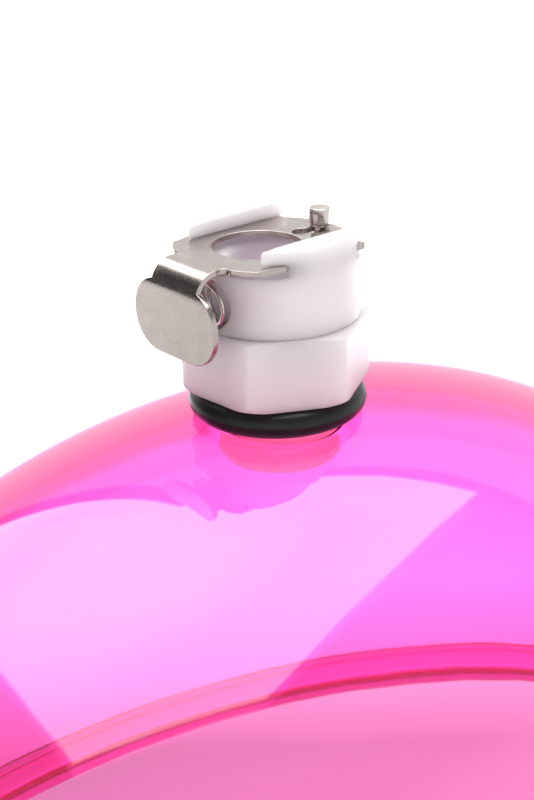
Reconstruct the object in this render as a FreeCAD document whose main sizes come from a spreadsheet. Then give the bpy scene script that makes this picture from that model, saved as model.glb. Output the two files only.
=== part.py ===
import FreeCAD, Part
import math
import os
import re

import Sketcher
from FreeCAD import Placement, Rotation, Vector

# Vacuum cupping cup with a quick-disconnect valve.
# Frame: millimetres, +Z up, the cup's mouth on z = 0, the valve's axis on x = y = 0,
# +Y along the cup's long side; the valve's thumb tab points to -Y.

DIMENSIONS = {
    # cup
    "cup_half_width": 40.6,
    "cup_half_length": 61.9,
    "dome_rise": 49.7,
    "dome_base": 6.9,
    "cup_wall": 2.6,
    "crown_wall": 3.0,
    "lip_reach": 3.6,
    "lip_thick": 3.2,
    "lip_round": 1.3,
    "port_r": 5.25,
    "seat": 56.0,
    # seal ring under the hexagon
    "ring_section_r": 1.28,
    "ring_mean_r": 6.28,
    # hexagon and threaded stem; heights from here on are above the hexagon's underside
    "hexagon": 58.6,
    "hex_flats": 14.3,
    "hex_height": 6.1,
    "hex_turn": 33.1,
    "hex_corner_r": 8.3,
    "hex_top_bevel": 0.5,
    "bevel_start_r": 7.1,
    "hex_foot_bevel": 0.6,
    "hex_foot_r": 7.55,
    "hex_edge_r": 1.0,
    "stem_r": 5.14,
    "stem_neck_r": 4.85,
    "stem_neck": 3.1,
    "stem_depth": 7.6,
    "stem_bevel": 0.5,
    "thread_pitch": 0.94,
    "thread_depth": 0.42,
    "spigot_bore_r": 5.5,
    "spigot_bore_floor": 3.0,
    "chamber_r": 3.3,
    "spring_bore_r": 2.9,
    "spring_bore_floor": -4.6,
    "flow_r": 1.8,
    # coupling body
    "body_r": 7.05,
    "body_foot": 6.14,
    "spigot_r": 5.44,
    "spigot_foot": 3.05,
    "body_chamber_r": 3.5,
    "seat_cone_low": 5.6,
    "seat_cone_high": 6.8,
    "throat_r": 2.3,
    "throat_top": 7.4,
    "socket_r": 3.7,
    "socket_floor": 8.0,
    "socket_bevel": 0.35,
    "crown_edge": 13.68,
    "crown_centre": 13.79,
    "channel_half": 4.6,
    "channel_floor": 11.35,
    "groove_half": 5.95,
    "groove_roof": 12.52,
    "ear_round": 0.4,
    "spring_seat_r": 2.2,
    "spring_seat_y": 5.2,
    "pin_bore_r": 0.9,
    "pin_bore_floor": 7.2,
    # latch plate
    "sheet": 0.5,
    "plate_top": 12.45,
    "bend_r": 2.2,
    "tab_face": 10.66,
    "tab_foot": 4.88,
    "tab_corner_r": 3.0,
    "tab_corner_x": 2.15,
    "tab_high_corner": 8.1,
    "neck_half": 2.8,
    "bend_half": 2.9,
    "plate_half": 5.85,
    "plate_rear_r": 6.4,
    "neck_foot": -8.2,
    "wing_r": 8.4,
    "wing_root": 3.55,
    "wing_mid": 4.5,
    "wing_tip": 5.25,
    "wing_shoulder": -5.95,
    "wing_end": -4.3,
    "heel": 4.55,
    "rear_corner": 4.3,
    "insert_hole_r": 3.77,
    "insert_hole_y": -1.82,
    "key_hole_r": 0.95,
    "key_hole_y": 3.18,
    "key_slot_half": 0.6,
    # release pin
    "pin_y": 5.0,
    "pin_top": 14.2,
    "pin_head_r": 0.9,
    "pin_head_foot": 12.62,
    "pin_neck_r": 0.5,
    "pin_collar_top": 11.88,
    "pin_collar_r": 0.82,
    "pin_foot": 9.4,
    "pin_bevel": 0.12,
    # shut-off poppet
    "nose_r": 1.8,
    "nose_top": 7.7,
    "poppet_cone_low": 5.4,
    "poppet_cone_high": 6.7,
    "poppet_r": 3.1,
    "poppet_foot": 4.6,
    "guide_r": 1.2,
    "guide_foot": -0.5,
    "seal_section_r": 0.36,
    "seal_mean_r": 2.5,
    "seal_level": 6.0,
    # springs
    "latch_wire_r": 0.17,
    "latch_coil_r": 1.84,
    "latch_coil_axis": 8.62,
    "latch_coil_pitch": 0.95,
    "pin_wire_r": 0.1,
    "pin_coil_r": 0.6,
    "pin_coil_pitch": 0.45,
    "poppet_wire_r": 0.22,
    "poppet_coil_r": 2.2,
    "poppet_coil_pitch": 1.5,
}

COS_45 = math.sqrt(0.5)

document = FreeCAD.newDocument("cupping_cup")
sheet = document.addObject("Spreadsheet::Sheet", "Dims")
for row, (alias, value) in enumerate(DIMENSIONS.items(), start=1):
    sheet.set(f"A{row}", alias.replace("_", " "))
    sheet.set(f"B{row}", str(value))
    sheet.setAlias(f"B{row}", alias)
document.recompute()


def in_sheet(expression):
    """Write an expression in sheet names as one that other objects can read."""
    return re.sub(r"\b([a-z][a-z_0-9]*)\b(?!\()", r"Dims.\1", str(expression))


def value_of(expression):
    """The number that an expression in sheet names stands for."""
    return float(sheet.evalExpression(in_sheet(expression)))


def bind(target, **properties):
    """Bind each property of an object to an expression in sheet names."""
    for name, expression in properties.items():
        target.setExpression(name, in_sheet(expression))


def place(target, x="0", y="0", z="0", turn=None):
    """Put an object's origin at an expression for each axis, after an optional turn."""
    if turn is not None:
        target.Placement = Placement(Vector(), turn)
    for axis, expression in zip("xyz", (x, y, z)):
        target.setExpression(f"Placement.Base.{axis}", in_sheet(expression))


# ---------------------------------------------------------------- sketches


def on_plane(sketch, body, role, offset="0"):
    """Attach a sketch to one of its own body's origin planes."""
    plane = next(item for item in body.Origin.OriginFeatures if item.Role == role)
    sketch.AttachmentSupport = [(plane, "")]
    sketch.MapMode = "FlatFace"
    sketch.setExpression("AttachmentOffset.Base.z", in_sheet(offset))


def new_sketch(body, name, role, offset="0"):
    sketch = body.newObject("Sketcher::SketchObject", name)
    on_plane(sketch, body, role, offset)
    return sketch


def free_sketch(name, turn):
    """A sketch outside any body, turned into its own working plane."""
    sketch = document.addObject("Sketcher::SketchObject", name)
    sketch.Placement = Placement(Vector(), turn)
    return sketch


def pin_point(sketch, edge, end, x, y):
    """Hold one end of an edge, or a circle's centre, at a pair of expressions."""
    for kind, expression in (("DistanceX", x), ("DistanceY", y)):
        held = sketch.addConstraint(
            Sketcher.Constraint(kind, -1, 1, edge, end, value_of(expression))
        )
        sketch.setExpression(f"Constraints[{held}]", in_sheet(expression))


def add_circle(sketch, x, y, radius):
    centre = Vector(value_of(x), value_of(y), 0)
    edge = sketch.addGeometry(Part.Circle(centre, Vector(0, 0, 1), value_of(radius)))
    pin_point(sketch, edge, 3, x, y)
    held = sketch.addConstraint(Sketcher.Constraint("Radius", edge, value_of(radius)))
    sketch.setExpression(f"Constraints[{held}]", in_sheet(radius))


def add_outline(sketch, corners):
    """Close an outline through its corners.

    A corner is (x, y). A corner (x, y, through_x, through_y) starts an arc that passes
    through that second point on its way to the next corner.
    """
    points = [Vector(value_of(c[0]), value_of(c[1]), 0) for c in corners]
    edges = []
    ends = []
    for here, corner in enumerate(corners):
        start, stop = points[here], points[(here + 1) % len(points)]
        if len(corner) == 2:
            edges.append(sketch.addGeometry(Part.LineSegment(start, stop)))
            ends.append((1, 2))
            continue
        middle = Vector(value_of(corner[2]), value_of(corner[3]), 0)
        edges.append(sketch.addGeometry(Part.Arc(start, middle, stop)))
        anticlockwise = (middle - start).cross(stop - middle).z > 0
        ends.append((1, 2) if anticlockwise else (2, 1))
        centre = Part.Circle(start, middle, stop).Center
        level = abs(stop.x - start.x) > abs(stop.y - start.y)
        held = ("DistanceY", centre.y) if level else ("DistanceX", centre.x)
        sketch.addConstraint(Sketcher.Constraint(held[0], -1, 1, edges[-1], 3, held[1]))
    for here, corner in enumerate(corners):
        after = (here + 1) % len(corners)
        joint = (edges[here], ends[here][1], edges[after], ends[after][0])
        sketch.addConstraint(Sketcher.Constraint("Coincident", *joint))
        pin_point(sketch, edges[here], ends[here][0], corner[0], corner[1])


# ---------------------------------------------------------------- features


def new_body(name):
    body = document.addObject("PartDesign::Body", name)
    body.Label = name
    return body


def turned(body, name, corners):
    """Revolve an outline of (radius, height) corners about the body's Z axis."""
    sketch = new_sketch(body, f"{name}_profile", "XZ_Plane")
    add_outline(sketch, corners)
    feature = body.newObject("PartDesign::Revolution", name)
    feature.Profile = sketch
    feature.ReferenceAxis = (sketch, ["V_Axis"])
    feature.Angle = 360
    document.recompute()
    return feature


def turned_away(body, name, corners):
    """Groove an outline of (radius, height) corners out of a body, about its Z axis."""
    before = body.Shape.Volume
    sketch = new_sketch(body, f"{name}_profile", "XZ_Plane")
    add_outline(sketch, corners)
    feature = body.newObject("PartDesign::Groove", name)
    feature.Profile = sketch
    feature.ReferenceAxis = (sketch, ["V_Axis"])
    feature.Angle = 360
    document.recompute()
    if body.Shape.Volume > before - 1e-6:
        raise RuntimeError(f"{name} cuts nothing")
    return feature


def cut(body, name, sketch, length=None, reverse=False):
    """Pocket a sketch to a length, or through everything both ways, and check it bites."""
    before = body.Shape.Volume
    feature = body.newObject("PartDesign::Pocket", name)
    feature.Profile = sketch
    if length is None:
        feature.Type = "ThroughAll"
        feature.Midplane = True
    else:
        feature.Reversed = reverse
        bind(feature, Length=length)
    document.recompute()
    if body.Shape.Volume > before - 1e-6:
        raise RuntimeError(f"{name} cuts nothing")
    return feature


def coil(name, wire_r, coil_r, pitch, length):
    """A helical spring along the Z axis of its own body, starting at z = 0."""
    body = new_body(name)
    sketch = new_sketch(body, f"{name}_wire", "XZ_Plane")
    add_circle(sketch, coil_r, wire_r, wire_r)
    feature = body.newObject("PartDesign::AdditiveHelix", f"{name}_helix")
    feature.Profile = sketch
    feature.ReferenceAxis = (sketch, ["V_Axis"])
    feature.Mode = "pitch-height-angle"
    bind(feature, Pitch=pitch, Height=f"{length} - 2 * {wire_r}")
    document.recompute()
    return body


def primitive(kind, name, **properties):
    made = document.addObject(f"Part::{kind}", name)
    bind(made, **properties)
    return made


def combine(kind, name, *members):
    """Fuse, cut or intersect a base with one or more tools."""
    if kind == "MultiFuse":
        made = document.addObject("Part::MultiFuse", name)
        made.Shapes = list(members)
    else:
        made = document.addObject(f"Part::{kind}", name)
        made.Base, made.Tool = members
    document.recompute()
    return made


def extruded(name, base, direction, length, back="0"):
    """A solid swept from a flat sketch or ellipse along a direction."""
    made = document.addObject("Part::Extrusion", name)
    made.Base = base
    made.DirMode = "Custom"
    made.Dir = direction
    made.Solid = True
    bind(made, LengthFwd=length, LengthRev=back)
    document.recompute()
    return made


def mirrored(right, bridge=()):
    """Complete an outline from its right half, listed in order along the outline.

    The bridge is the point that an arc from the last corner to its mirror image passes.
    """
    left = []
    for here in reversed(range(len(right))):
        x, y = right[here][:2]
        through = right[here - 1][2:] if here else ()
        left.append((f"-({x})", y) + ((f"-({through[0]})", through[1]) if through else ()))
    return right[:-1] + [right[-1][:2] + tuple(bridge)] + left


def edges_where(shape, test):
    """Numbers of the edges of a shape that pass a test."""
    return [i for i, edge in enumerate(shape.Edges, start=1) if test(edge)]


# ---------------------------------------------------------------- cup


def oval_plate(name, grow, low, high):
    """An upright oval plug, as long and wide as the cup plus a margin all round."""
    oval = primitive(
        "Ellipse",
        f"{name}_oval",
        MajorRadius=f"cup_half_length + {grow}",
        MinorRadius=f"cup_half_width + {grow}",
    )
    place(oval, z=low, turn=Rotation(Vector(0, 0, 1), 90))
    return extruded(name, oval, Vector(0, 0, 1), f"({high}) - ({low})")


def half_dome(name, shrink, drop):
    """Upper half of an ellipsoid, inside the cup's outside by a margin and a drop."""
    dome = primitive(
        "Ellipsoid",
        name,
        Radius1=f"dome_rise - {drop}",
        Radius2=f"cup_half_width - {shrink}",
        Radius3=f"cup_half_length - {shrink}",
    )
    dome.Angle1 = 0
    place(dome, z="dome_base")
    return dome


def cup_shell():
    """Clear oval dome with a rounded lip, its crown cut flat for the ring and bored."""
    lip = oval_plate("Lip", "lip_reach", "0", "lip_thick")
    rounded = document.addObject("Part::Fillet", "RoundedLip")
    rounded.Base = lip
    edges = edges_where(lip.Shape, lambda edge: edge.BoundBox.ZLength < 1e-6)
    rounded.Edges = [(edge, value_of("lip_round"), value_of("lip_round")) for edge in edges]
    above = primitive("Cylinder", "AboveSeat", Radius="cup_half_width / 2", Height="crown_wall")
    place(above, z="seat")
    port = primitive("Cylinder", "Port", Radius="port_r", Height="crown_wall * 2")
    place(port, z="seat - crown_wall * 3 / 2")
    outside = combine(
        "MultiFuse",
        "CupOutside",
        half_dome("OuterDome", "0", "0"),
        oval_plate("OuterSkirt", "0", "lip_thick / 2", "dome_base"),
        rounded,
    )
    inside = combine(
        "MultiFuse",
        "CupInside",
        half_dome("InnerDome", "cup_wall", "crown_wall"),
        oval_plate("InnerSkirt", "-cup_wall", "-lip_thick", "dome_base"),
    )
    hollow = combine("Cut", "HollowCup", outside, inside)
    seated = combine("Cut", "SeatedCup", hollow, above)
    shell = combine("Cut", "CupShell", seated, port)
    shell.Label = "cup_shell"
    return shell


def seal_ring():
    """O-ring between the crown of the cup and the hexagon."""
    ring = primitive("Torus", "SealRing", Radius1="ring_mean_r", Radius2="ring_section_r")
    place(ring, z="(seat + hexagon) / 2")
    ring.Label = "seal_ring"
    return ring


# ---------------------------------------------------------------- valve body


def hex_base():
    """Hexagon with a threaded stem, hollow for the poppet and its spring."""
    body = new_body("hex_base")
    hexagon = new_sketch(body, "Hexagon_outline", "XY_Plane")
    half, corner = "hex_flats / 2", "hex_flats / sqrt(3)"
    beside = "hex_flats / sqrt(12)"
    add_outline(
        hexagon,
        [
            ("0", f"-({corner})"),
            (half, f"-({beside})"),
            (half, beside),
            ("0", corner),
            (f"-({half})", beside),
            (f"-({half})", f"-({beside})"),
        ],
    )
    pad = body.newObject("PartDesign::Pad", "Hexagon")
    pad.Profile = hexagon
    bind(pad, Length="hex_height")
    document.recompute()
    height = value_of("hex_height")
    corners = edges_where(pad.Shape, lambda edge: abs(edge.BoundBox.ZLength - height) < 1e-6)
    rounded = body.newObject("PartDesign::Fillet", "HexEdges")
    rounded.Base = (pad, [f"Edge{number}" for number in corners])
    bind(rounded, Radius="hex_edge_r")
    document.recompute()
    turned_away(
        body,
        "HexBevels",
        [
            ("bevel_start_r", "hex_height"),
            ("hex_corner_r", "hex_height - hex_top_bevel"),
            ("hex_corner_r + 1", "hex_height - hex_top_bevel"),
            ("hex_corner_r + 1", "hex_height + 1"),
            ("bevel_start_r", "hex_height + 1"),
        ],
    )
    turned_away(
        body,
        "HexFoot",
        [
            ("hex_foot_r", "0"),
            ("hex_foot_r", "-1"),
            ("hex_corner_r + 1", "-1"),
            ("hex_corner_r + 1", "hex_foot_bevel"),
            ("hex_corner_r", "hex_foot_bevel"),
        ],
    )
    turned(
        body,
        "Stem",
        [
            ("flow_r", "0.5"),
            ("flow_r", "-stem_depth"),
            ("stem_r - stem_bevel", "-stem_depth"),
            ("stem_r", "stem_bevel - stem_depth"),
            ("stem_r", "-stem_neck"),
            ("stem_neck_r", "0.3 - stem_neck"),
            ("stem_neck_r", "0.5"),
        ],
    )
    turned_away(
        body,
        "Bores",
        [
            ("0", "hex_height + 1"),
            ("0", "-stem_depth - 1"),
            ("flow_r", "-stem_depth - 1"),
            ("flow_r", "spring_bore_floor"),
            ("spring_bore_r", "spring_bore_floor"),
            ("spring_bore_r", "0"),
            ("chamber_r", "0"),
            ("chamber_r", "spigot_bore_floor"),
            ("spigot_bore_r", "spigot_bore_floor"),
            ("spigot_bore_r", "hex_height + 1"),
        ],
    )
    groove = new_sketch(body, "Thread_groove", "XZ_Plane")
    root, crest = "stem_r - thread_depth", "stem_r + 0.1"
    level = "-stem_depth - thread_pitch"
    add_outline(
        groove,
        [
            (root, level),
            (crest, f"{level} - thread_pitch * 0.42"),
            (crest, f"{level} + thread_pitch * 0.42"),
        ],
    )
    thread = body.newObject("PartDesign::SubtractiveHelix", "Thread")
    thread.Profile = groove
    thread.ReferenceAxis = (groove, ["V_Axis"])
    thread.Mode = "pitch-height-angle"
    bind(thread, Pitch="thread_pitch", Height="stem_depth - stem_neck + thread_pitch * 1.4")
    body.Tip = thread
    document.recompute()
    place(body, z="hexagon", turn=Rotation(Vector(0, 0, 1), value_of("hex_turn")))
    return body


def coupling_body():
    """Round body with a latch channel between two ears, a socket and a valve seat."""
    body = new_body("coupling_body")
    crown_middle = "crown_edge + (crown_centre - crown_edge) * 3 / 4"
    turned(
        body,
        "BodyBlank",
        [
            ("spigot_r", "body_foot"),
            ("body_r", "body_foot"),
            (
                "body_r",
                "crown_edge - ear_round",
                f"body_r - ear_round * (1 - {COS_45})",
                f"crown_edge - ear_round * (1 - {COS_45})",
            ),
            ("body_r - ear_round", "crown_edge", "body_r / 2", crown_middle),
            ("0", "crown_centre"),
            ("0", "socket_floor"),
            ("socket_r", "socket_floor"),
            ("throat_r", "throat_top"),
            ("throat_r", "seat_cone_high"),
            ("body_chamber_r", "seat_cone_low"),
            ("body_chamber_r", "spigot_foot"),
            ("spigot_r", "spigot_foot"),
        ],
    )
    above = "crown_centre + 1"
    channel = new_sketch(body, "Channel_section", "XZ_Plane")
    add_outline(
        channel,
        [
            ("-groove_half", "channel_floor"),
            ("groove_half", "channel_floor"),
            ("groove_half", "groove_roof"),
            ("channel_half", "groove_roof"),
            ("channel_half", above),
            ("-channel_half", above),
            ("-channel_half", "groove_roof"),
            ("-groove_half", "groove_roof"),
        ],
    )
    cut(body, "Channel", channel)
    mouth = new_sketch(body, "Socket_mouth", "XY_Plane", "channel_floor")
    add_circle(mouth, "0", "0", "socket_r")
    cut(body, "Socket", mouth, "channel_floor - socket_floor")
    turned_away(
        body,
        "SocketLeadIn",
        [
            ("socket_r - 0.1", "channel_floor - socket_bevel - 0.1"),
            ("socket_r + socket_bevel", "channel_floor"),
            ("socket_r - 0.1", "channel_floor"),
        ],
    )
    spring_seat = new_sketch(body, "SpringSeat_end", "XZ_Plane", "spring_seat_y")
    add_circle(spring_seat, "0", "latch_coil_axis", "spring_seat_r")
    cut(body, "SpringSeat", spring_seat, "body_r", reverse=True)
    pin_bore = new_sketch(body, "PinBore_mouth", "XY_Plane", "channel_floor")
    add_circle(pin_bore, "0", "pin_y", "pin_bore_r")
    cut(body, "PinBore", pin_bore, "channel_floor - pin_bore_floor")
    place(body, z="hexagon")
    return body


# ---------------------------------------------------------------- latch


def latch_plate():
    """Sheet bent into a plate and a thumb tab, trimmed to its outline and pierced."""
    bend = "bend_r - tab_face"
    bend_level = "plate_top - bend_r"
    inner = "tab_face - sheet"
    section = free_sketch("LatchSection", Rotation(Vector(1, 1, 1), 120))
    add_outline(
        section,
        [
            ("plate_rear_r + 1", "plate_top"),
            (bend, "plate_top", f"{bend} - bend_r * {COS_45}", f"{bend_level} + bend_r * {COS_45}"),
            ("-tab_face", bend_level),
            ("-tab_face", "tab_foot - 1"),
            (f"-({inner})", "tab_foot - 1"),
            (
                f"-({inner})",
                bend_level,
                f"{bend} - (bend_r - sheet) * {COS_45}",
                f"{bend_level} + (bend_r - sheet) * {COS_45}",
            ),
            (bend, "plate_top - sheet"),
            ("plate_rear_r + 1", "plate_top - sheet"),
        ],
    )
    strip = extruded("LatchStrip", section, Vector(1, 0, 0), "plate_half + 1", "plate_half + 1")

    plan = free_sketch("LatchPlan", Rotation())
    wing_edge = "-sqrt(wing_r ^ 2 - {0} ^ 2)".format
    add_outline(
        plan,
        mirrored(
            [
                ("bend_half", bend),
                ("neck_half", "neck_foot", "neck_half + 0.13", "neck_foot + 0.5"),
                ("wing_root", wing_edge("wing_root"), "wing_mid", wing_edge("wing_mid")),
                ("wing_tip", wing_edge("wing_tip"), "wing_tip + 0.22", "wing_shoulder - 0.35"),
                ("wing_tip + 0.25", "wing_shoulder"),
                ("plate_half", "wing_end"),
                ("plate_half", "heel", "plate_half - 0.13", "heel + 0.31"),
                ("plate_half - 0.45", "heel + 0.4"),
                ("rear_corner", "sqrt(plate_rear_r ^ 2 - rear_corner ^ 2)"),
            ],
            bridge=("0", "plate_rear_r"),
        ),
    )
    place(plan, z="plate_top - sheet * 2")
    plan_block = extruded("LatchPlanBlock", plan, Vector(0, 0, 1), "sheet * 3")

    front = free_sketch("LatchFront", Rotation(Vector(1, 0, 0), 90))
    shoulder = "tab_high_corner + sqrt(tab_corner_r ^ 2 - (bend_half - tab_corner_x) ^ 2)"
    side = "tab_corner_x + tab_corner_r"
    reach = f"tab_corner_x + tab_corner_r * {COS_45}"
    rise = f"tab_corner_r * {COS_45}"
    add_outline(
        front,
        mirrored(
            [
                ("tab_corner_x", "tab_foot", reach, f"tab_foot + tab_corner_r - {rise}"),
                (side, "tab_foot + tab_corner_r"),
                (side, "tab_high_corner", reach, f"tab_high_corner + {rise}"),
                ("bend_half", shoulder),
                ("bend_half", "plate_top + sheet"),
            ]
        ),
    )
    place(front, y=bend)
    front_block = extruded("LatchFrontBlock", front, Vector(0, -1, 0), "bend_r + sheet")

    blank = combine("MultiFuse", "LatchOutline", plan_block, front_block)
    trimmed = combine("Common", "LatchBlank", strip, blank)
    insert_hole = primitive("Cylinder", "InsertHole", Radius="insert_hole_r", Height="sheet * 3")
    place(insert_hole, y="insert_hole_y", z="plate_top - sheet * 2")
    key_hole = primitive("Cylinder", "KeyHole", Radius="key_hole_r", Height="sheet * 3")
    place(key_hole, y="key_hole_y", z="plate_top - sheet * 2")
    slot_end = primitive("Cylinder", "KeySlotEnd", Radius="key_slot_half", Height="sheet * 3")
    place(slot_end, y="pin_y", z="plate_top - sheet * 2")
    slot = primitive(
        "Box", "KeySlot", Length="key_slot_half * 2", Width="pin_y - key_hole_y", Height="sheet * 3"
    )
    place(slot, x="-key_slot_half", y="key_hole_y", z="plate_top - sheet * 2")
    holes = combine("MultiFuse", "LatchHoles", insert_hole, key_hole, slot_end, slot)
    pierced = combine("Cut", "LatchPlate", trimmed, holes)
    place(pierced, z="hexagon")
    pierced.Label = "latch_plate"
    return pierced


def latch_spring():
    """Coil between the body's front pocket and the thumb tab."""
    free_length = "tab_face - sheet - spring_seat_y - 0.06"
    body = coil("latch_spring", "latch_wire_r", "latch_coil_r", "latch_coil_pitch", free_length)
    turn = Rotation(Vector(1, 0, 0), 90)
    place(body, y="-spring_seat_y - 0.03", z="hexagon + latch_coil_axis", turn=turn)
    return body


def release_pin():
    """Headed pin whose neck stands in the latch plate's key slot."""
    body = new_body("release_pin")
    turned(
        body,
        "PinBlank",
        [
            ("0", "pin_foot"),
            ("pin_collar_r - pin_bevel", "pin_foot"),
            ("pin_collar_r", "pin_foot + pin_bevel"),
            ("pin_collar_r", "pin_collar_top"),
            ("pin_neck_r", "pin_collar_top"),
            ("pin_neck_r", "pin_head_foot"),
            ("pin_head_r - pin_bevel", "pin_head_foot"),
            ("pin_head_r", "pin_head_foot + pin_bevel"),
            ("pin_head_r", "pin_top - pin_bevel"),
            ("pin_head_r - pin_bevel", "pin_top"),
            ("0", "pin_top"),
        ],
    )
    place(body, y="pin_y", z="hexagon")
    return body


def pin_spring():
    """Coil under the release pin."""
    free_length = "pin_foot - pin_bore_floor - 0.06"
    body = coil("pin_spring", "pin_wire_r", "pin_coil_r", "pin_coil_pitch", free_length)
    place(body, y="pin_y", z="hexagon + pin_bore_floor + 0.03")
    return body


# ---------------------------------------------------------------- shut-off valve


def valve_poppet():
    """Poppet with a nose for the hose fitting to push, a seal groove and a spring guide."""
    body = new_body("valve_poppet")
    groove = f"(seal_section_r + 0.02) * {COS_45}"
    turned(
        body,
        "PoppetBlank",
        [
            ("0", "guide_foot"),
            ("guide_r - 0.2", "guide_foot"),
            ("guide_r", "guide_foot + 0.2"),
            ("guide_r", "poppet_foot"),
            ("poppet_r", "poppet_foot"),
            ("poppet_r", "poppet_cone_low"),
            (
                f"seal_mean_r + {groove}",
                f"seal_level - {groove}",
                f"seal_mean_r - {groove}",
                f"seal_level - {groove}",
            ),
            (f"seal_mean_r - {groove}", f"seal_level + {groove}"),
            ("nose_r", "poppet_cone_high"),
            ("nose_r", "nose_top - 0.3"),
            ("nose_r - 0.3", "nose_top"),
            ("0", "nose_top"),
        ],
    )
    place(body, z="hexagon")
    return body


def poppet_seal():
    """Small O-ring in the poppet's groove."""
    ring = primitive("Torus", "PoppetSeal", Radius1="seal_mean_r", Radius2="seal_section_r")
    place(ring, z="hexagon + seal_level")
    ring.Label = "poppet_seal"
    return ring


def poppet_spring():
    """Coil that holds the poppet shut."""
    free_length = "poppet_foot - spring_bore_floor - 0.06"
    body = coil(
        "poppet_spring", "poppet_wire_r", "poppet_coil_r", "poppet_coil_pitch", free_length
    )
    place(body, z="hexagon + spring_bore_floor + 0.03")
    return body


# ---------------------------------------------------------------- hand over


def check_document():
    """Stop if any object of the document failed to rebuild."""
    for item in document.Objects:
        if {"Invalid", "Error"} & set(item.State):
            raise RuntimeError(f"{item.Name} did not rebuild: {item.State}")


def write_parts(parts):
    os.makedirs("parts", exist_ok=True)
    for part in parts:
        shape = part.Shape
        if shape.isNull() or not shape.isValid():
            raise RuntimeError(f"{part.Label} has no valid shape")
    for part in parts:
        part.Shape.exportStep(os.path.join("parts", f"{part.Label}.step"))
        box = part.Shape.optimalBoundingBox()
        size = " x ".join(f"{side:.2f}" for side in (box.XLength, box.YLength, box.ZLength))
        print(f"{part.Label}: {size} mm, {len(part.Shape.Solids)} solid")


parts = [
    cup_shell(),
    seal_ring(),
    hex_base(),
    coupling_body(),
    latch_plate(),
    latch_spring(),
    release_pin(),
    pin_spring(),
    valve_poppet(),
    poppet_seal(),
    poppet_spring(),
]
document.recompute()
check_document()
write_parts(parts)
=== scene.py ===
"""Looks for the vacuum cupping cup with its quick-disconnect valve.

Row frame, metres: +Z up, the cup's mouth on z = 0, the valve's axis on x = y = 0,
+Y along the cup's long side, the thumb tab toward -Y. Part sizes are in millimetres and
are scaled by MM where a mesh is made.
"""

import math

import bmesh
import bpy
import numpy as np
from mathutils import Matrix, Vector


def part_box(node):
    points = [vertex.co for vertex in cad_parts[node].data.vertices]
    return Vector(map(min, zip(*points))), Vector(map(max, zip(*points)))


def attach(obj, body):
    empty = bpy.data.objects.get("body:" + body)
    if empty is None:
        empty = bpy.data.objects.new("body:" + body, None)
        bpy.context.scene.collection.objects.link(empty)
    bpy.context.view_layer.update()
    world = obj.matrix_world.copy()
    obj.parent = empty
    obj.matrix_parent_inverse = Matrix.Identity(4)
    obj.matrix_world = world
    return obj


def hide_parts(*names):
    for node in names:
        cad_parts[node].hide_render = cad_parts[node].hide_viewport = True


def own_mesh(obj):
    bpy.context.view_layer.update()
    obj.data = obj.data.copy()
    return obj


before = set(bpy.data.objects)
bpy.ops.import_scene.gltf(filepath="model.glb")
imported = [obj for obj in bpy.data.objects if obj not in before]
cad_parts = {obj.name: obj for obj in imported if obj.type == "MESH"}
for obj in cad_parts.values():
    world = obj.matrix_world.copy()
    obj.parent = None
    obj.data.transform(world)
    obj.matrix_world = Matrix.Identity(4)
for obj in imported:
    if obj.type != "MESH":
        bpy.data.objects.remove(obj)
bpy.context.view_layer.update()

MM = 0.001
TAU = 2 * math.pi


def box_mm(node):
    """Lowest and highest corner of a CAD node, in millimetres."""
    low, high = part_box(node)
    return np.array(low) / MM, np.array(high) / MM


CUP_LOW, CUP_HIGH = box_mm("cup_shell")
RING_LOW, RING_HIGH = box_mm("seal_ring")
PLATE_LOW, PLATE_HIGH = box_mm("latch_plate")
# the hexagon's underside, from which heights on the hexagon and the pin are measured
HEX_UNDERSIDE = 58.6

# ---------------------------------------------------------------- meshes


def enclosed(points, faces):
    """Volume that closed faces hold, negative if they face inward."""
    fans = np.array([(f[0], f[k], f[k + 1]) for f in faces for k in range(1, len(f) - 1)])
    a, b, c = (points[fans[:, k]] for k in range(3))
    return np.einsum("ij,ij->", a, np.cross(b, c)) / 6


def piece_from(name, points, faces, body, nodes=(), sharp=None):
    """A closed mesh piece from points in millimetres, riding on a body."""
    points = np.asarray(points)
    if enclosed(points, faces) < 0:
        faces = [tuple(reversed(face)) for face in faces]
    mesh = bpy.data.meshes.new(name)
    mesh.from_pydata([tuple(p) for p in points * MM], [], faces)
    mesh.validate()
    return finish_piece(name, mesh, body, nodes, sharp)


def finish_piece(name, mesh, body, nodes=(), sharp=None):
    """Smooth a mesh, split its shading at edges past an angle, and tie it to a body."""
    mesh.polygons.foreach_set("use_smooth", [True] * len(mesh.polygons))
    if sharp is not None:
        mesh.set_sharp_from_angle(angle=math.radians(sharp))
    mesh.update()
    piece = bpy.data.objects.new(name, mesh)
    bpy.context.scene.collection.objects.link(piece)
    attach(piece, body)
    if nodes:
        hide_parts(*nodes)
    return piece


def loft(rings, joined_ends=False, caps=False):
    """Faces between rings of points. Rings are (n, 3) arrays with the same n."""
    count = len(rings[0])
    points = np.concatenate(rings)
    faces = []
    last = len(rings) if joined_ends else len(rings) - 1
    for r in range(last):
        low, high = r * count, ((r + 1) % len(rings)) * count
        for k in range(count):
            after = (k + 1) % count
            faces.append((low + k, low + after, high + after, high + k))
    if caps:
        faces.append(tuple(reversed(range(count))))
        faces.append(tuple(range(len(points) - count, len(points))))
    return points, faces


def arc(centre, radius, start, stop, steps):
    """Points on an arc in a (radius, height) profile, angles in degrees."""
    angles = np.radians(np.linspace(start, stop, steps))
    return [(centre[0] + radius * math.cos(a), centre[1] + radius * math.sin(a)) for a in angles]


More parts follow.
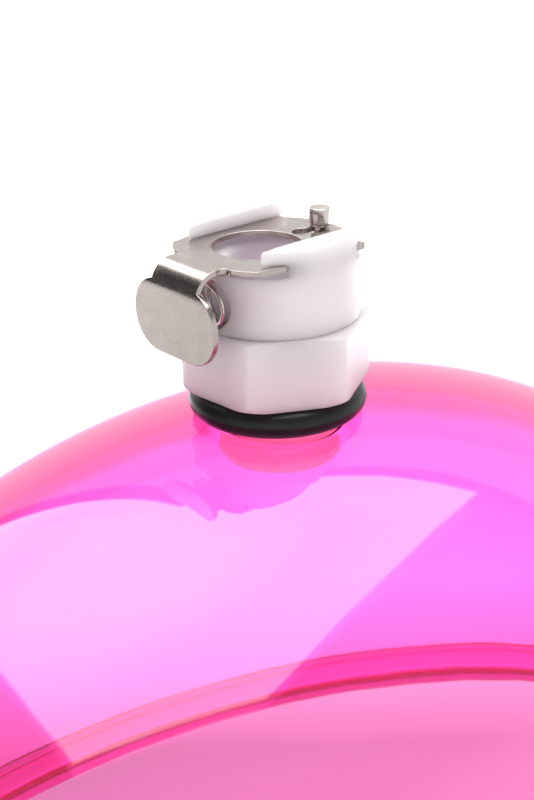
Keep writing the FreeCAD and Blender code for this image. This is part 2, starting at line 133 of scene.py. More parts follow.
def lathe(profile, segments, centre=(0, 0), closed=True):
    """Turn a (radius, height) profile about the Z axis through a centre."""
    angles = np.arange(segments) * TAU / segments
    rings = [
        np.stack(
            [
                centre[0] + r * np.cos(angles),
                centre[1] + r * np.sin(angles),
                np.full(segments, z),
            ],
            axis=1,
        )
        for r, z in profile
    ]
    return loft(rings, joined_ends=closed, caps=not closed)


def tube(path, radius, sides=14):
    """A round tube along a path, with domed ends."""
    path = np.asarray(path, float)
    tangents = np.gradient(path, axis=0)
    tangents /= np.linalg.norm(tangents, axis=1)[:, None]
    normal = np.cross(tangents[0], (0.3, 0.5, 0.8))
    rings = []
    angles = np.arange(sides) * TAU / sides
    for point, along in zip(path, tangents):
        normal = normal - along * (normal @ along)
        normal /= np.linalg.norm(normal)
        across = np.cross(along, normal)
        rings.append((point, along, normal, across))

    def ring(frame_here, shift, size):
        point, along, normal_here, across = frame_here
        offsets = np.outer(np.cos(angles), normal_here) + np.outer(np.sin(angles), across)
        return point + along * shift + offsets * size

    dome = [(math.sin(a), math.cos(a)) for a in np.radians((75, 45, 20))]
    made = [ring(rings[0], -radius * 0.45 * s, radius * c) for s, c in dome]
    made += [ring(f, 0, radius) for f in rings]
    made += [ring(rings[-1], radius * 0.45 * s, radius * c) for s, c in reversed(dome)]
    return loft(made, caps=True)


def from_node(name, node, body, voxel, smooth, relax):
    """A piece with a CAD node's own shape, its moulded edges softened."""
    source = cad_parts[node]
    mesh = source.data.copy()
    work = bmesh.new()
    work.from_mesh(mesh)
    bmesh.ops.remove_doubles(work, verts=work.verts, dist=1e-7)
    work.to_mesh(mesh)
    work.free()
    piece = bpy.data.objects.new(name, mesh)
    bpy.context.scene.collection.objects.link(piece)
    remesh = piece.modifiers.new("Voxels", "REMESH")
    remesh.mode = "VOXEL"
    remesh.voxel_size = voxel * MM
    soften = piece.modifiers.new("Soften", "SMOOTH")
    soften.factor = smooth
    soften.iterations = relax
    graph = bpy.context.evaluated_depsgraph_get()
    baked = bpy.data.meshes.new_from_object(piece.evaluated_get(graph))
    bpy.data.objects.remove(piece)
    baked.materials.clear()
    return finish_piece(name, baked, body, (node,))


# ---------------------------------------------------------------- materials


class Nodes:
    """A short way to write a material's node tree."""

    def __init__(self, name):
        self.material = bpy.data.materials.new(name)
        self.material.use_nodes = True
        self.tree = self.material.node_tree
        self.tree.nodes.clear()
        self.output = self.add("OutputMaterial")
        self.shader = self.add("BsdfPrincipled")
        self.link(self.shader.outputs[0], self.output.inputs["Surface"])
        self.place = self.add("TexCoord").outputs["Object"]

    def add(self, kind, **settings):
        node = self.tree.nodes.new(f"ShaderNode{kind}")
        for key, value in settings.items():
            setattr(node, key, value)
        return node

    def link(self, source, target):
        self.tree.links.new(source, target)

    def set(self, **values):
        for key, value in values.items():
            self.shader.inputs[key.replace("_", " ")].default_value = value

    def scaled(self, scale):
        mapping = self.add("Mapping")
        mapping.inputs["Scale"].default_value = scale
        self.link(self.place, mapping.inputs["Vector"])
        return mapping.outputs[0]

    def noise(self, per_mm, detail=4.0, roughness=0.5, stretch=(1, 1, 1)):
        """Noise with a number of cells per millimetre; stretch thins it along an axis."""
        noise = self.add("TexNoise")
        noise.inputs["Scale"].default_value = 1.0
        noise.inputs["Detail"].default_value = detail
        noise.inputs["Roughness"].default_value = roughness
        scale = [per_mm / MM * s for s in stretch]
        self.link(self.scaled(scale), noise.inputs["Vector"])
        return noise.outputs["Fac"]

    def spread(self, value, low, high, out_low, out_high):
        node = self.add("MapRange")
        self.link(value, node.inputs["Value"])
        for key, number in zip(
            ("From Min", "From Max", "To Min", "To Max"), (low, high, out_low, out_high)
        ):
            node.inputs[key].default_value = number
        return node.outputs[0]

    def mix(self, factor, a, b):
        """Mix two colours by a factor."""
        node = self.add("Mix", data_type="RGBA")
        self.link(factor, node.inputs["Factor"])
        for index, colour in ((6, a), (7, b)):
            if isinstance(colour, tuple):
                node.inputs[index].default_value = (*colour, 1)
            else:
                self.link(colour, node.inputs[index])
        return node.outputs[2]

    def bump(self, height, strength, distance, below=None):
        node = self.add("Bump")
        node.inputs["Strength"].default_value = strength
        node.inputs["Distance"].default_value = distance * MM
        self.link(height, node.inputs["Height"])
        if below is not None:
            self.link(below, node.inputs["Normal"])
        return node.outputs[0]


def clear_pink():
    """Clear magenta plastic: colour by depth in the wall, polished skin."""
    n = Nodes("clear_pink")
    n.set(
        Base_Color=(1.0, 0.96, 0.99, 1),
        Transmission_Weight=1.0,
        IOR=1.57,
        Specular_IOR_Level=0.5,
    )
    haze = n.noise(0.05, 3)
    n.link(n.spread(haze, 0.3, 0.7, 0.012, 0.05), n.shader.inputs["Roughness"])
    wave = n.noise(0.06, 2)
    n.link(n.bump(wave, 0.1, 0.5), n.shader.inputs["Normal"])
    absorb = n.add("VolumeAbsorption")
    absorb.inputs["Color"].default_value = (0.99, 0.02, 0.67, 1)
    absorb.inputs["Density"].default_value = 385.0
    n.link(absorb.outputs[0], n.output.inputs["Volume"])
    return n.material


def black_rubber():
    n = Nodes("black_rubber")
    dust = n.noise(2.2, 6, 0.7)
    n.link(
        n.mix(n.spread(dust, 0.62, 0.8, 0, 1), (0.010, 0.009, 0.010), (0.05, 0.045, 0.05)),
        n.shader.inputs["Base Color"],
    )
    n.set(Specular_IOR_Level=0.3)
    skin = n.noise(0.9, 5, 0.6)
    n.link(n.spread(skin, 0.3, 0.7, 0.26, 0.40), n.shader.inputs["Roughness"])
    n.link(n.bump(n.noise(6, 4), 0.25, 0.02), n.shader.inputs["Normal"])
    return n.material


def white_acetal():
    """Natural acetal: satin, slightly waxy, light goes a little way into it. Its colour holds
    painted light: a pink tint for bounce light from the dome, pinker low down, and a painted pink
    glow below the cup's seat.
    """
    n = Nodes("white_acetal")
    n.set(
        Subsurface_Weight=0.85,
        Subsurface_Radius=(0.0042, 0.0042, 0.0044),
        Subsurface_Scale=1.0,
        IOR=1.48,
    )
    # the tone differs at random, and both colours are tinted pink: painted bounce light from the
    # pink dome
    cloud = n.noise(0.25, 3)
    tone = n.mix(n.spread(cloud, 0.3, 0.7, 0, 1), (0.86, 0.77, 0.825), (0.89, 0.81, 0.86))
    # painted bounce light: the colour turns pinker from about 64 mm down to the hexagon's
    # underside and is fully pink below it, as if lit by the pink dome
    height = n.add("SeparateXYZ")
    n.link(n.place, height.inputs[0])
    low = n.spread(height.outputs["Z"], 0.0585, 0.064, 1, 0)
    n.link(n.mix(low, tone, (0.95, 0.66, 0.76)), n.shader.inputs["Base Color"])
    # painted glow: below about 57 mm the acetal emits pink light, fully below 54.5 mm, in place of
    # light reaching the stem inside the cup
    stem = n.spread(height.outputs["Z"], 0.0545, 0.057, 1, 0)
    n.link(n.mix(stem, (0, 0, 0), (0.9, 0.33, 0.45)), n.shader.inputs["Emission Color"])
    n.set(Emission_Strength=1.0)
    n.link(n.spread(n.noise(1.2, 5), 0.3, 0.7, 0.30, 0.42), n.shader.inputs["Roughness"])
    grain = n.bump(n.noise(9, 3), 0.12, 0.01)
    n.link(n.bump(n.noise(0.5, 2), 0.2, 0.06, grain), n.shader.inputs["Normal"])
    return n.material


def latch_steel():
    """Satin stainless sheet: fine speckle, short level grain, a few scratches and specks."""
    n = Nodes("latch_steel")
    n.set(Metallic=1.0)
    speckle = n.noise(9, 5, 0.7, stretch=(0.5, 1.4, 1.4))
    blotch = n.noise(0.8, 4)
    tone = n.mix(
        n.spread(blotch, 0.35, 0.65, 0, 1), (0.45, 0.392, 0.372), (0.49, 0.43, 0.408)
    )
    pitted = n.mix(n.spread(speckle, 0.56, 0.72, 0, 0.6), tone, (0.24, 0.20, 0.19))
    scratch = n.noise(0.7, 2, 0.5, stretch=(0.3, 7, 7))
    scored = n.mix(n.spread(scratch, 0.70, 0.74, 0, 0.5), pitted, (0.26, 0.22, 0.21))
    n.link(scored, n.shader.inputs["Base Color"])
    n.link(n.spread(speckle, 0.3, 0.7, 0.16, 0.34), n.shader.inputs["Roughness"])
    n.link(n.bump(speckle, 0.4, 0.008), n.shader.inputs["Normal"])
    return n.material


def bright_steel(name, tone, rough, grain):
    """Bright wire or turned steel, with fine drawing or turning marks."""
    n = Nodes(name)
    n.set(Metallic=1.0)
    mark = n.noise(*grain[0], stretch=grain[1])
    dark = tuple(0.8 * c for c in tone)
    n.link(n.mix(n.spread(mark, 0.35, 0.65, 0, 1), dark, tone), n.shader.inputs["Base Color"])
    n.link(n.spread(mark, 0.3, 0.7, rough * 0.7, rough * 1.4), n.shader.inputs["Roughness"])
    n.link(n.bump(mark, 0.15, 0.002), n.shader.inputs["Normal"])
    return n.material


PINK = clear_pink()
RUBBER = black_rubber()
ACETAL = white_acetal()
STEEL = latch_steel()
WIRE = bright_steel("spring_wire", (0.66, 0.60, 0.57), 0.16, ((5, 4), (1, 1, 1)))
PIN = bright_steel("pin_steel", (0.70, 0.64, 0.61), 0.14, ((2, 3), (0.3, 0.3, 9)))
SHEARED = bright_steel("sheared_edge", (0.42, 0.38, 0.35), 0.34, ((4, 4), (1, 1, 0.2)))


def paint(piece, material):
    piece.data.materials.clear()
    piece.data.materials.append(material)


# ---------------------------------------------------------------- cup


def cup_shell():
    """The clear dome: oval lip, skirt and dome, its crown bored for the stem.

    The dome runs on smoothly under the O-ring, where the CAD has a flat.
    """
    lip_reach, lip_thick, lip_round, wall, crown_wall = 3.6, 3.2, 1.3, 2.6, 3.0
    skirt_top, seat, port_r, rise = 6.9, CUP_HIGH[2], 5.25, 49.7
    half_x = CUP_HIGH[0] - lip_reach
    half_y = CUP_HIGH[1] - lip_reach
    count = 288
    theta = np.arange(count) * TAU / count
    cos_t, sin_t = np.cos(theta), np.sin(theta)

    def ring(rx, ry, z):
        return np.stack([rx * cos_t, ry * sin_t, np.broadcast_to(z, count)], axis=1)

    def dome_height(x, y, shrink, drop):
        level = 1 - (x / (half_x - shrink)) ** 2 - (y / (half_y - shrink)) ** 2
        return skirt_top + (rise - drop) * np.sqrt(np.maximum(level, 0))

    def dome_ring(turn, shrink, drop, centre_r):
        """A ring on the dome: an oval at turn 0, drawn in to a circle at turn 1."""
        reach = math.cos(turn * math.pi / 2)
        rx = centre_r + (half_x - shrink - centre_r) * reach
        ry = centre_r + (half_y - shrink - centre_r) * reach
        return ring(rx, ry, dome_height(rx * cos_t, ry * sin_t, shrink, drop))

    # inside these radii the rings are circles about the port, outside them ovals
    outer_join, inner_join = 7.6, 6.4
    dome_rings, crowding, bore_top, port_step = 84, 0.9, seat - 0.3, 0.3
    under = dome_height(port_r * cos_t, port_r * sin_t, wall, crown_wall)
    rings = [ring(port_r, port_r, under + 0.25), ring(port_r, port_r, bore_top)]
    rings += [ring(port_r + 0.08, port_r + 0.08, seat - 0.06)]
    for r in np.arange(port_r + 0.25, outer_join - 0.1, port_step):
        rings.append(ring(r, r, dome_height(r * cos_t, r * sin_t, 0, 0)))
    turns = 1 - np.linspace(0, 1, dome_rings) ** crowding
    rings += [dome_ring(t, 0, 0, outer_join) for t in turns]
    # skirt and lip as (growth past the skirt, height)
    foot = [(0, 6.0), (0, 5.0), (0, 4.3), (0.06, 3.85), (0.25, 3.48), (0.6, 3.27)]
    foot += [(1.0, lip_thick), (1.7, lip_thick), (lip_reach - lip_round, lip_thick)]
    foot += arc((lip_reach - lip_round, lip_thick - lip_round), lip_round, 80, 0, 8)
    foot += arc((lip_reach - lip_round, lip_round), lip_round, 0, -90, 8)
    foot += [(1.2, 0), (0, 0), (-1.2, 0), (-wall + 0.5, 0)]
    foot += arc((-wall + 0.5, 0.5), 0.5, 260, 180, 5)
    foot += [(-wall, 1.5), (-wall, 3.0), (-wall, 4.5), (-wall, 6.0)]
    rings += [ring(half_x + grow, half_y + grow, z) for grow, z in foot]
    rings += [dome_ring(t, wall, crown_wall, inner_join) for t in reversed(turns)]
    lead_r = 5.6
    near_port = dome_height(lead_r * cos_t, lead_r * sin_t, wall, crown_wall)
    rings.append(ring(lead_r, lead_r, near_port))
    rings.append(ring(port_r + 0.1, port_r + 0.1, under + 0.05))
    points, faces = loft(rings, joined_ends=True)
    dome = piece_from("cup_dome", points, faces, "cup", ("cup_shell",), sharp=50)
    for face in dome.data.polygons:
        x, y, z = face.center / MM
        in_bore = math.hypot(x, y) < port_r + 0.02 and z < bore_top
        face.material_index = 1 if in_bore else 0
    return dome


def seal_ring():
    """O-ring with the faint mould line round its outer and inner girth."""
    low, high = RING_LOW, RING_HIGH
    section = (high[2] - low[2]) / 2
    mean = high[0] - section
    level = (high[2] + low[2]) / 2
    profile = []
    sides = 64
    for k in range(sides):
        a = k * TAU / sides
        off = abs(((a + math.pi / 2) % math.pi) - math.pi / 2)
        flash = 0.035 * math.exp(-((off / 0.06) ** 2))
        r = section - 0.02 + flash
        profile.append((mean + r * math.cos(a), level + r * math.sin(a)))
    points, faces = lathe(profile, 200)
    return piece_from("o_ring", points, faces, "cup", ("seal_ring",))


# ---------------------------------------------------------------- valve


def hexagon():
    """Hexagon with soft moulded edges over a threaded stem, bored through."""
    base, height, turn = HEX_UNDERSIDE, 6.1, math.radians(33.1)
    half_flats, flow_r, stem_r, neck_r = 14.3 / 2, 1.8, 5.14, 4.85
    pitch, depth, stem_depth, neck = 0.94, 0.42, 7.6, 3.1
    count = 240
    theta = np.arange(count) * TAU / count
    soft, corner_r, top_r, foot_r = 0.34, 8.3, 7.05, 7.3
    edge_steps, flank, run_in = 8, 0.42, 12
    counterbore_r, well_r, spring_r, spring_floor = 5.5, 3.3, 2.9, -4.6

    def hex_radius(limit):
        """Smallest of the six flats and a round limit, rounded where they meet."""
        total = np.zeros(count)
        power = 60.0
        for k in range(6):
            facing = np.cos(theta - turn - k * TAU / 6)
            total += np.maximum(facing / half_flats, 1e-6) ** power
        total += (1 / limit) ** power
        return total ** (-1 / power)

    def ring(radius, z):
        return np.stack(
            [radius * np.cos(theta), radius * np.sin(theta), np.full(count, base + z)], axis=1
        )

    rings = []
    top, bottom = height, 0.0
    rings.append(ring(np.full(count, counterbore_r), top - 0.15))
    rings.append(ring(np.full(count, 5.65), top))
    rings.append(ring(np.full(count, 6.3), top))
    side = hex_radius(corner_r)
    for k in range(edge_steps + 1):
        a = k / edge_steps * math.pi / 2
        z = top - soft * (1 - math.cos(a)) * 1.3
        limit = top_r + (corner_r - top_r) * math.sin(a) ** 1.2
        capped = hex_radius(limit)
        rings.append(ring(np.minimum(side - soft * 0.55 * (1 - math.sin(a)), capped), z))
    for z in np.linspace(top - soft * 1.3 - 0.25, bottom + 1.1, 8):
        rings.append(ring(side, z))
    for k in range(edge_steps + 1):
        a = k / edge_steps * math.pi / 2
        z = bottom + 0.75 * (1 - math.sin(a))
        limit = foot_r + (corner_r - foot_r) * math.cos(a) ** 1.2
        capped = hex_radius(limit)
        rings.append(ring(np.minimum(side - soft * 0.5 * (1 - math.cos(a)), capped), z))
    rings.append(ring(np.full(count, 6.2), 0))
    for radius, z in ((5.1, 0), (4.92, -0.06), (neck_r, -0.2), (neck_r, 0.3 - neck)):
        rings.append(ring(np.full(count, radius), z))
    run = stem_depth - neck
    steps = 110
    for k in range(steps + 1):
        z = -neck - run * k / steps
        phase = (z / pitch - theta / TAU) % 1.0
        groove = np.clip(1 - np.abs(phase - 0.5) / flank, 0, 1) * depth
        fade = min(1, (k / steps) * run_in)
        lead = max(0, (z + stem_depth - 0.5) / -0.5)
        rings.append(ring(np.minimum(stem_r - groove * fade, stem_r - 0.5 * lead), z))
    for radius, z in (
        (4.3, -stem_depth),
        (flow_r + 0.1, -stem_depth),
        (flow_r, -stem_depth + 0.1),
        (flow_r, spring_floor),
        (spring_r, spring_floor),
        (spring_r, 0),
        (well_r, 0.05),
        (well_r, 3.0),
        (counterbore_r, 3.0),
    ):
        rings.append(ring(np.full(count, radius), z))
    points, faces = loft(rings, joined_ends=True)
    return piece_from("hexagon", points, faces, "cup", ("hex_base",), sharp=50)


def coupling_body():
    return from_node("valve_body", "coupling_body", "cup", 0.1, 0.5, 6)


# ---------------------------------------------------------------- latch

SHEET = 0.5
BEND_R = 2.2
EDGE_ROUND = 0.07
PLATE_TOP = PLATE_HIGH[2]
TAB_FACE = PLATE_LOW[1]
BEND_START = TAB_FACE + BEND_R
BEND_LEVEL = PLATE_TOP - BEND_R
MIDDLE_R = BEND_R - SHEET / 2
BEND_RUN = MIDDLE_R * math.pi / 2


def arc_through(start, through, stop, steps=12):
    """Points of the arc from start to stop by way of a third point, stop left out."""
    (ax, ay), (bx, by), (cx, cy) = start, through, stop
    d = 2 * (ax * (by - cy) + bx * (cy - ay) + cx * (ay - by))
    squares = ax * ax + ay * ay, bx * bx + by * by, cx * cx + cy * cy
    ux = (squares[0] * (by - cy) + squares[1] * (cy - ay) + squares[2] * (ay - by)) / d
    uy = (squares[0] * (cx - bx) + squares[1] * (ax - cx) + squares[2] * (bx - ax)) / d
    turns = [math.atan2(y - uy, x - ux) for x, y in (start, through, stop)]
    sweep, part = (turns[2] - turns[0]) % TAU, (turns[1] - turns[0]) % TAU
    if part > sweep:
        sweep -= TAU
    radius = math.hypot(ax - ux, ay - uy)
    angles = [turns[0] + sweep * k / steps for k in range(steps)]
    return [(ux + radius * math.cos(a), uy + radius * math.sin(a)) for a in angles]


def laid_flat(height):
    """Place along the flat pattern of a height on the bent-down thumb tab."""
    if height <= BEND_LEVEL:
        return BEND_START - BEND_RUN - (BEND_LEVEL - height)
    return BEND_START - MIDDLE_R * math.acos(min(1, (height - BEND_LEVEL) / BEND_R))


def latch_outline():
    """The latch's whole outline laid flat, the tab's foot at the low end of Y."""
    corner_r, corner_x = 3.0, 2.15
    foot = PLATE_LOW[2]
    low_centre, high_centre = foot + corner_r, foot + 3.22
    bend_half, neck_foot, wing_r, rear_r = 2.9, -8.2, 8.4, 6.4

    def on_wing(x):
        return (x, -math.sqrt(wing_r**2 - x**2))

    half = []
    for angle in np.radians(np.linspace(-90, 0, 14)):
        height = low_centre + corner_r * math.sin(angle)
        half.append((corner_x + corner_r * math.cos(angle), laid_flat(height)))
    for angle in np.radians(np.linspace(0, 75.5, 16)):
        height = high_centre + corner_r * math.sin(angle)
        half.append((corner_x + corner_r * math.cos(angle), laid_flat(height)))
    half += [(bend_half, BEND_START - 0.6), (bend_half, BEND_START)]
    half += arc_through((2.8, neck_foot), (2.93, neck_foot + 0.5), on_wing(3.55))
    half += arc_through(on_wing(3.55), on_wing(4.5), on_wing(5.25))
    half += arc_through(on_wing(5.25), (5.47, -6.3), (5.5, -5.95), 6)
    half += [(5.5, -5.95), (PLATE_HIGH[0], -4.3)]
    half += arc_through((PLATE_HIGH[0], 4.55), (5.72, 4.86), (5.4, 4.95), 6)
    half.append((5.4, 4.95))
    rear = (4.3, math.sqrt(rear_r**2 - 4.3**2))
    half += arc_through(rear, (0, rear_r), (-rear[0], rear[1]), 40)[:20]
    half.append((0, rear_r))
    return half + [(-x, y) for x, y in reversed(half[:-1])]


def round_hole(x, y, radius, steps=72):
    return [
        (x + radius * math.cos(a), y + radius * math.sin(a))
        for a in np.arange(steps) * TAU / steps
    ]


def keyhole(y, radius, slot_end, slot_half):
    """A round hole that opens into a slot with a round end, toward +Y."""
    open_at = math.asin(slot_half / radius)
    start = math.pi / 2 + open_at
    sweep = TAU - 2 * open_at
    points = [
        (radius * math.cos(start + sweep * k / 40), y + radius * math.sin(start + sweep * k / 40))
        for k in range(41)
    ]
    points += [
        (slot_half * math.cos(a), slot_end + slot_half * math.sin(a))
        for a in np.linspace(0, math.pi, 18)
    ]
    return points


def bent(x, y, z):
    """A point of the flat pattern, z from the sheet's middle, after bending."""
    if y >= BEND_START:
        return x, y, PLATE_TOP - SHEET / 2 + z
    run = BEND_START - y
    angle = min(run, BEND_RUN) / MIDDLE_R
    beyond = max(0, run - BEND_RUN)
    reach = MIDDLE_R + z
    return (
        x,
        BEND_START - reach * math.sin(angle) - beyond * math.cos(angle),
        BEND_LEVEL + reach * math.cos(angle) - beyond * math.sin(angle),
    )


def latch_plate():
    """Stamped sheet cut from its flat pattern, its edges broken, then bent."""
    curve = bpy.data.curves.new("latch_pattern", "CURVE")
    curve.dimensions = "2D"
    curve.fill_mode = "BOTH"
    curve.extrude = SHEET / 2 - EDGE_ROUND
    curve.bevel_depth = EDGE_ROUND
    curve.bevel_resolution = 2
    curve.offset = -EDGE_ROUND
    holes = [round_hole(0, -1.82, 3.77), keyhole(3.18, 0.95, 5.0, 0.6)]
    for outline in (latch_outline(), *holes):
        spline = curve.splines.new("POLY")
        spline.points.add(len(outline) - 1)
        for point, (x, y) in zip(spline.points, outline):
            point.co = (x, y, 0, 1)
        spline.use_cyclic_u = True
    pattern = bpy.data.objects.new("latch_pattern", curve)
    bpy.context.scene.collection.objects.link(pattern)
    graph = bpy.context.evaluated_depsgraph_get()
    mesh = bpy.data.meshes.new_from_object(pattern.evaluated_get(graph))
    bpy.data.objects.remove(pattern)
    work = bmesh.new()
    work.from_mesh(mesh)
    bmesh.ops.remove_doubles(work, verts=work.verts, dist=1e-5)
    for cut in np.linspace(BEND_START - BEND_RUN, BEND_START, 19):
        geometry = list(work.verts) + list(work.edges) + list(work.faces)
        bmesh.ops.bisect_plane(
            work, geom=geometry, dist=1e-6, plane_co=(0, cut, 0), plane_no=(0, 1, 0)
        )
    bmesh.ops.recalc_face_normals(work, faces=work.faces)
    for face in work.faces:
        face.material_index = 1 if abs(face.normal.z) < 0.3 else 0
    for vertex in work.verts:
        vertex.co = Vector(bent(*vertex.co)) * MM
    work.to_mesh(mesh)
    work.free()
    mesh.materials.clear()
    piece = finish_piece("thumb_latch", mesh, "latch", ("latch_plate",), 60)
    weighted = piece.modifiers.new("FlatFaces", "WEIGHTED_NORMAL")
    weighted.keep_sharp = True
    weighted.weight = 90
    return piece


# ---------------------------------------------------------------- springs


END_TURNS = 0.9


def spring_path(radius, length, turns, end_turns, wire):
    """A helix along Z from 0 to length with closed end coils."""
    total = turns + 2 * end_turns
    angles = np.linspace(0, total * TAU, int(total * 40))
    wraps = angles / TAU
    tight = wire * 2.1
    z = np.interp(
        wraps,
        [0, end_turns, total - end_turns, total],
        [wire, wire + tight * end_turns, length - wire - tight * end_turns, length - wire],
    )
    window = 25
    kernel = np.ones(window) / window
    padded = np.concatenate([np.full(window // 2, z[0]), z, np.full(window // 2, z[-1])])
    z = np.convolve(padded, kernel, mode="valid")
    return np.stack([radius * np.cos(angles), radius * np.sin(angles), z], axis=1)


def spring(name, node, axis, wire, turns):
    """A coil spring in a node's box; axis is 'y' (toward -Y) or 'z'."""
    low, high = box_mm(node)
    centre = (low + high) / 2
    if axis == "y":
        length = high[1] - low[1]
        radius = (high[0] - low[0]) / 2 - wire
        path = spring_path(radius, length, turns, END_TURNS, wire)
        path = np.stack([path[:, 0], -path[:, 2], path[:, 1]], axis=1)
        path += (centre[0], high[1], centre[2])
    else:
        length = high[2] - low[2]
        radius = (high[0] - low[0]) / 2 - wire
        path = spring_path(radius, length, turns, END_TURNS, wire) + (centre[0], centre[1], low[2])
    points, faces = tube(path, wire)
    return piece_from(name, points, faces, "cup", (node,))


def release_pin():
    """Headed pin with a lower collar; the neck between them stands in the latch's slot."""
    head_r, neck_r, collar_r, edge = 0.9, 0.5, 0.82, 0.1
    profile = [(collar_r - 0.12, 9.4), (collar_r, 9.52), (collar_r, 11.7)]
    profile += arc((collar_r - edge, 11.88 - edge), edge, 0, 90, 4)
    profile += [(neck_r + 0.05, 11.88), (neck_r, 11.93), (neck_r, 12.57), (neck_r + 0.05, 12.62)]
    profile += arc((head_r - edge, 12.62 + edge), edge, -90, 0, 4)
    profile += [(head_r, 13.0), (head_r, 13.6)]
    profile += arc((head_r - edge, 14.2 - edge), edge, 0, 90, 6)
    profile += [(head_r - 0.25, 14.195), (0.3, 14.19)]
    profile = [(radius, HEX_UNDERSIDE + height) for radius, height in profile]
    points, faces = lathe(profile, 72, (0, 5.0), closed=False)
    return piece_from("pin", points, faces, "cup", ("release_pin",), sharp=60)


# ---------------------------------------------------------------- assembly

dome = cup_shell()
dome.data.materials.append(PINK)
dome.data.materials.append(ACETAL)
ring = seal_ring()
paint(ring, RUBBER)
hexa = hexagon()
paint(hexa, ACETAL)
valve = coupling_body()
paint(valve, ACETAL)
latch_coil = spring("latch_coil", "latch_spring", "y", 0.17, 3.2)
pin_coil = spring("pin_coil", "pin_spring", "z", 0.1, 3.0)
poppet_coil = spring("poppet_coil", "poppet_spring", "z", 0.22, 4.5)
for coil in (latch_coil, pin_coil, poppet_coil):
    paint(coil, WIRE)
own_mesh(latch_coil)
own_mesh(poppet_coil)
latch = latch_plate()
latch.data.materials.append(STEEL)
latch.data.materials.append(SHEARED)
pin = release_pin()
paint(pin, PIN)
for node, material in (
    ("valve_poppet", ACETAL),
    ("poppet_seal", RUBBER),
):
    for index in range(len(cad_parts[node].material_slots)):
        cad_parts[node].material_slots[index].material = material

# ---------------------------------------------------------------- stage


def floor():
    """Pale floor, lit from below, with a brighter pool of light behind the cup."""
    rings = []
    segments = 96
    angles = np.arange(segments) * TAU / segments
    level, edge_r, edge_level = -0.02, 600, -8
    for radius in (0.5, 40, 90, 160, 260, 400, 560, edge_r):
        z = level if radius < edge_r else edge_level
        across, along = radius * np.cos(angles), radius * np.sin(angles)
        rings.append(np.stack([across, along, np.full(segments, z)], axis=1))
    points, faces = loft(rings)
    faces.append(tuple(range(segments)))
    mesh = bpy.data.meshes.new("floor")
    mesh.from_pydata([tuple(p) for p in points * MM], [], faces)
    made = bpy.data.objects.new("floor", mesh)
    bpy.context.scene.collection.objects.link(made)
    n = Nodes("floor_paper")
    n.set(Base_Color=(0.36, 0.36, 0.36, 1), Roughness=0.75, Emission_Color=(1, 1, 1, 1))
    away_from_camera, pool_centre = (-0.77, 0.64, 0), (-0.1, 0.08, 0)
    pool_gain, base_glow = 1.65, 0.58
    behind = n.add("VectorMath", operation="DOT_PRODUCT")
    behind.inputs[1].default_value = away_from_camera
    n.link(n.place, behind.inputs[0])
    away = n.add("VectorMath", operation="DISTANCE")
    away.inputs[1].default_value = pool_centre
    n.link(n.place, away.inputs[0])
    pool = n.add("Math", operation="MULTIPLY")
    n.link(n.spread(behind.outputs["Value"], 0.035, 0.08, 0, 1), pool.inputs[0])
    n.link(n.spread(away.outputs["Value"], 0.12, 0.3, pool_gain, 0), pool.inputs[1])
    glow = n.add("Math", operation="ADD")
    n.link(pool.outputs[0], glow.inputs[0])
    glow.inputs[1].default_value = base_glow
    n.link(glow.outputs[0], n.shader.inputs["Emission Strength"])
    made.data.materials.append(n.material)


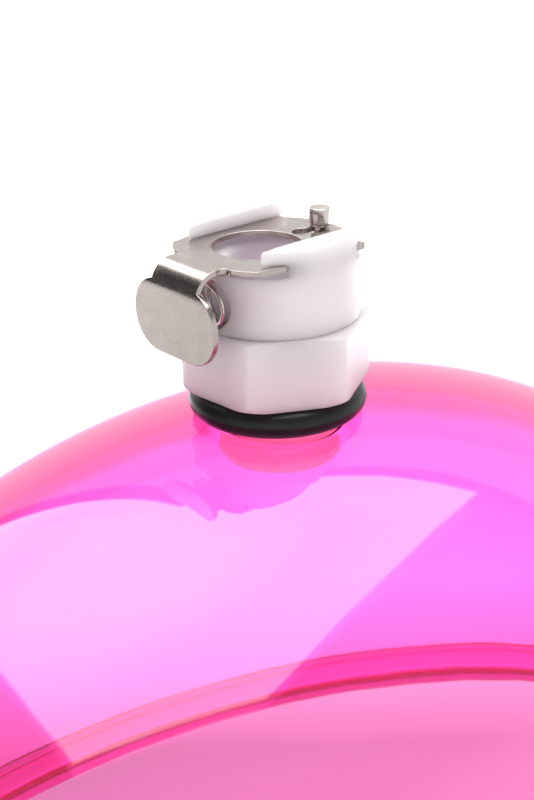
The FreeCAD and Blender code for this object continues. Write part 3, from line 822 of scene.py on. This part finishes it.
def studio():
    """Studio by direction: white backdrop low down, dim room above it, one big softbox.

    The softbox is the sky inside three great circles and inside at least one of two more on
    its far side. Past the far side come a dark gap and then a bright field. One side of the
    room is shaded.
    """
    scene_world = bpy.data.worlds.new("studio")
    bpy.context.scene.world = scene_world
    scene_world.use_nodes = True
    tree = scene_world.node_tree
    tree.nodes.clear()
    out = tree.nodes.new("ShaderNodeOutputWorld")
    back = tree.nodes.new("ShaderNodeBackground")
    place = tree.nodes.new("ShaderNodeTexCoord")
    split = tree.nodes.new("ShaderNodeSeparateXYZ")
    tree.links.new(place.outputs["Generated"], split.inputs[0])

    def along(direction):
        dot = tree.nodes.new("ShaderNodeVectorMath")
        dot.operation = "DOT_PRODUCT"
        dot.inputs[1].default_value = Vector(direction).normalized()
        tree.links.new(place.outputs["Generated"], dot.inputs[0])
        return dot.outputs["Value"]

    def calc(operation, a, b):
        node = tree.nodes.new("ShaderNodeMath")
        node.operation = operation
        for socket, value in zip(node.inputs, (a, b)):
            if isinstance(value, float):
                socket.default_value = value
            else:
                tree.links.new(value, socket)
        return node.outputs[0]

    def step(value, low, high, out_low, out_high):
        ramp = tree.nodes.new("ShaderNodeMapRange")
        ramp.interpolation_type = "SMOOTHSTEP"
        tree.links.new(value, ramp.inputs["Value"])
        for name, number in (
            ("From Min", low),
            ("From Max", high),
            ("To Min", out_low),
            ("To Max", out_high),
        ):
            ramp.inputs[name].default_value = number
        return ramp.outputs[0]

    # poles of the great circles, each on the outer side of its edge
    far, far_right = (-0.735, 0.434, -0.52), (0.017, 0.959, -0.284)
    right, near = (0.755, 0.432, -0.493), (0.793, -0.424, -0.436)
    left = (-0.129, -0.917, -0.377)
    soft, room_glow, matt_core, matt_room = 0.008, (1.08, 0.32), 0.35, 1.2
    top = calc("MINIMUM", along(far), along(far_right))
    sides = calc("MAXIMUM", along(right), along(near))
    sides = calc("MAXIMUM", sides, along(left))
    box = step(calc("MAXIMUM", top, sides), -soft, soft, 1, 0)
    core = step(along((-0.3, 0.0, 0.95)), 0.86, 1.0, 4.3, 5.7)
    room = step(split.outputs["Z"], 0.25, 0.5, *room_glow)
    beyond = step(top, 0.035, 0.065, 0, 1)
    room = calc("MAXIMUM", room, beyond)
    gap = calc("MULTIPLY", step(top, -0.01, 0.01, 0, 1), step(top, 0.035, 0.065, 1, 0))
    gap = calc("MULTIPLY", gap, step(split.outputs["Z"], 0.1, 0.2, 0, 0.7))
    room = calc("MULTIPLY", room, calc("SUBTRACT", 1.0, gap))
    shade = step(along((-0.71, -0.66, 0.2)), 0.78, 0.95, 0, 0.93)
    room = calc("MULTIPLY", room, calc("SUBTRACT", 1.0, shade))
    matt = tree.nodes.new("ShaderNodeLightPath").outputs["Is Diffuse Ray"]
    core = calc("MULTIPLY", core, step(matt, 0, 1, 1, matt_core))
    room = calc("MULTIPLY", room, step(matt, 0, 1, 1, matt_room))
    outside = calc("MULTIPLY", room, calc("SUBTRACT", 1.0, box))
    total = calc("ADD", outside, calc("MULTIPLY", box, core))
    tree.links.new(total, back.inputs["Strength"])
    tree.links.new(back.outputs[0], out.inputs["Surface"])
    back.inputs["Color"].default_value = (1, 1, 1, 1)


def camera():
    """Three-quarter view down on the valve, the long side of the frame upright."""
    azimuth, pitch, roll = (math.radians(v) for v in (50.32, 22.69, -1.30))
    back = Vector(
        (
            math.sin(azimuth) * math.cos(pitch),
            -math.cos(azimuth) * math.cos(pitch),
            math.sin(pitch),
        )
    )
    right = Vector((math.cos(azimuth), math.sin(azimuth), 0))
    up = back.cross(right)
    rolled = right * math.cos(roll) + up * math.sin(roll)
    upright = up * math.cos(roll) - right * math.sin(roll)
    data = bpy.data.cameras.new("camera")
    data.sensor_width = 36.0
    data.lens = 84.645
    data.clip_start = 0.01
    made = bpy.data.objects.new("camera", data)
    position = (0.113035, -0.094946, 0.118509)
    facing = Matrix((rolled, upright, back)).transposed().to_4x4()
    made.matrix_world = Matrix.Translation(position) @ facing
    bpy.context.scene.collection.objects.link(made)
    bpy.context.scene.camera = made


floor()
studio()
camera()
bpy.context.scene.view_settings.view_transform = "Standard"
